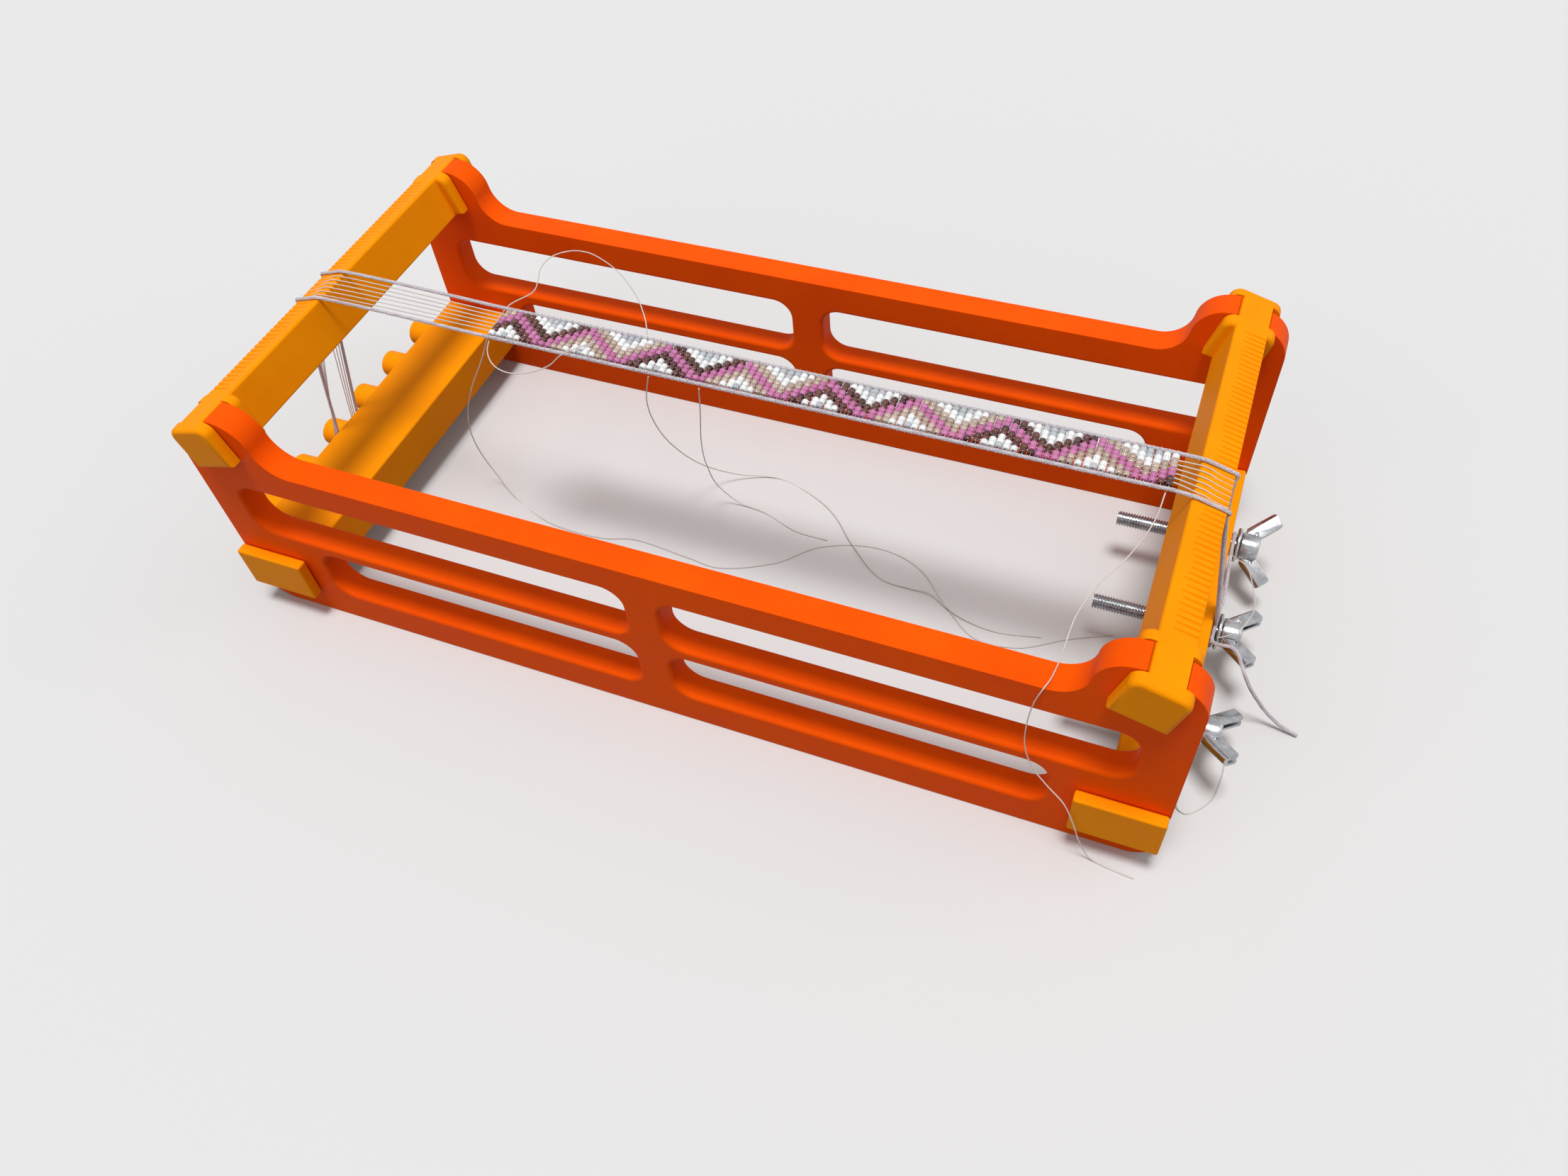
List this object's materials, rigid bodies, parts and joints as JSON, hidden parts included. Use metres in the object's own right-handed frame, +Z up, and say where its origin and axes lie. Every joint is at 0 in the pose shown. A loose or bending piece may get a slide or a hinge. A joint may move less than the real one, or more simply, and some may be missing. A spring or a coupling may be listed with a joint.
{
  "type": "bead loom",
  "caption": "Tabletop bead loom: slotted side plates, tilted comb bars, a peg bar and a tension bar with wing screws, strung with a warp and a band of beadwork.",
  "frame": {"origin": "centre of the footprint of the loom with its screws, on the surface it stands on", "axes": "+X along the loom towards the wing screws, +Y from the front plate to the rear plate, +Z up"},
  "size_m": [0.2788, 0.1232, 0.0719],
  "materials": {
    "plate": "orange-red printed plastic, satin",
    "bar": "warm yellow printed plastic, satin",
    "steel": "bright zinc plate",
    "beads": "glass cylinder beads in mauve, garnet brown, champagne, white and pale grey",
    "cord": "grey-lilac braided cord",
    "thread": "fine translucent beading thread"
  },
  "bodies": {
    "loom": {"front_plate": "plate", "rear_plate": "plate", "left_comb_bar": "bar", "right_comb_bar": "bar", "peg_bar": "bar", "tension_bar": "bar", "nut_1": "steel", "nut_2": "steel", "nut_3": "steel", "bead_band": "beads", "knot": "cord", "warp_cord": "cord", "warp_left_1": "thread", "warp_left_2": "thread", "warp_left_3": "thread", "warp_right_1": "thread", "warp_right_2": "thread", "warp_right_3": "thread", "warp_right_4": "thread", "warp_right_5": "thread", "warp_right_6": "thread", "anchor_cord": "cord", "cord_tail": "cord", "thin_arc": "thread", "front_neck_thread": "thread", "rear_loop": "thread", "front_loop": "thread", "long_tail": "thread", "middle_tail": "thread", "short_tail": "thread", "right_tail": "thread"},
    "rear_washer": {"washer_1": "steel"},
    "middle_washer": {"washer_2": "steel"},
    "front_washer": {"washer_3": "steel"},
    "rear_screw": {"wing_screw_1": "steel"},
    "middle_screw": {"wing_screw_2": "steel"},
    "front_screw": {"wing_screw_3": "steel"}
  },
  "joints": [
    {"name": "rear_washer_slide", "type": "slide", "parent": "loom", "child": "rear_washer", "axis": [1, 0, 0], "range_m": [0, 0.007]},
    {"name": "middle_washer_slide", "type": "slide", "parent": "loom", "child": "middle_washer", "axis": [1, 0, 0], "range_m": [0, 0.007]},
    {"name": "front_washer_slide", "type": "slide", "parent": "loom", "child": "front_washer", "axis": [1, 0, 0], "range_m": [0, 0.007]},
    {"name": "rear_screw_turn", "type": "hinge", "parent": "rear_washer", "child": "rear_screw", "pos_m": [0.12373, 0.0289, 0.0147], "axis": [1, 0, 0], "range_deg": [0, 3610]},
    {"name": "middle_screw_turn", "type": "hinge", "parent": "middle_washer", "child": "middle_screw", "pos_m": [0.12373, 0, 0.0147], "axis": [1, 0, 0], "range_deg": [0, 3610]},
    {"name": "front_screw_turn", "type": "hinge", "parent": "front_washer", "child": "front_screw", "pos_m": [0.12373, -0.0289, 0.0147], "axis": [1, 0, 0], "range_deg": [0, 3610]}
  ],
  "couplings": [
    {"joint": "rear_screw_turn", "follows": "rear_washer_slide", "rad_per_m": 8976},
    {"joint": "middle_screw_turn", "follows": "middle_washer_slide", "rad_per_m": 8976},
    {"joint": "front_screw_turn", "follows": "front_washer_slide", "rad_per_m": 8976}
  ]
}
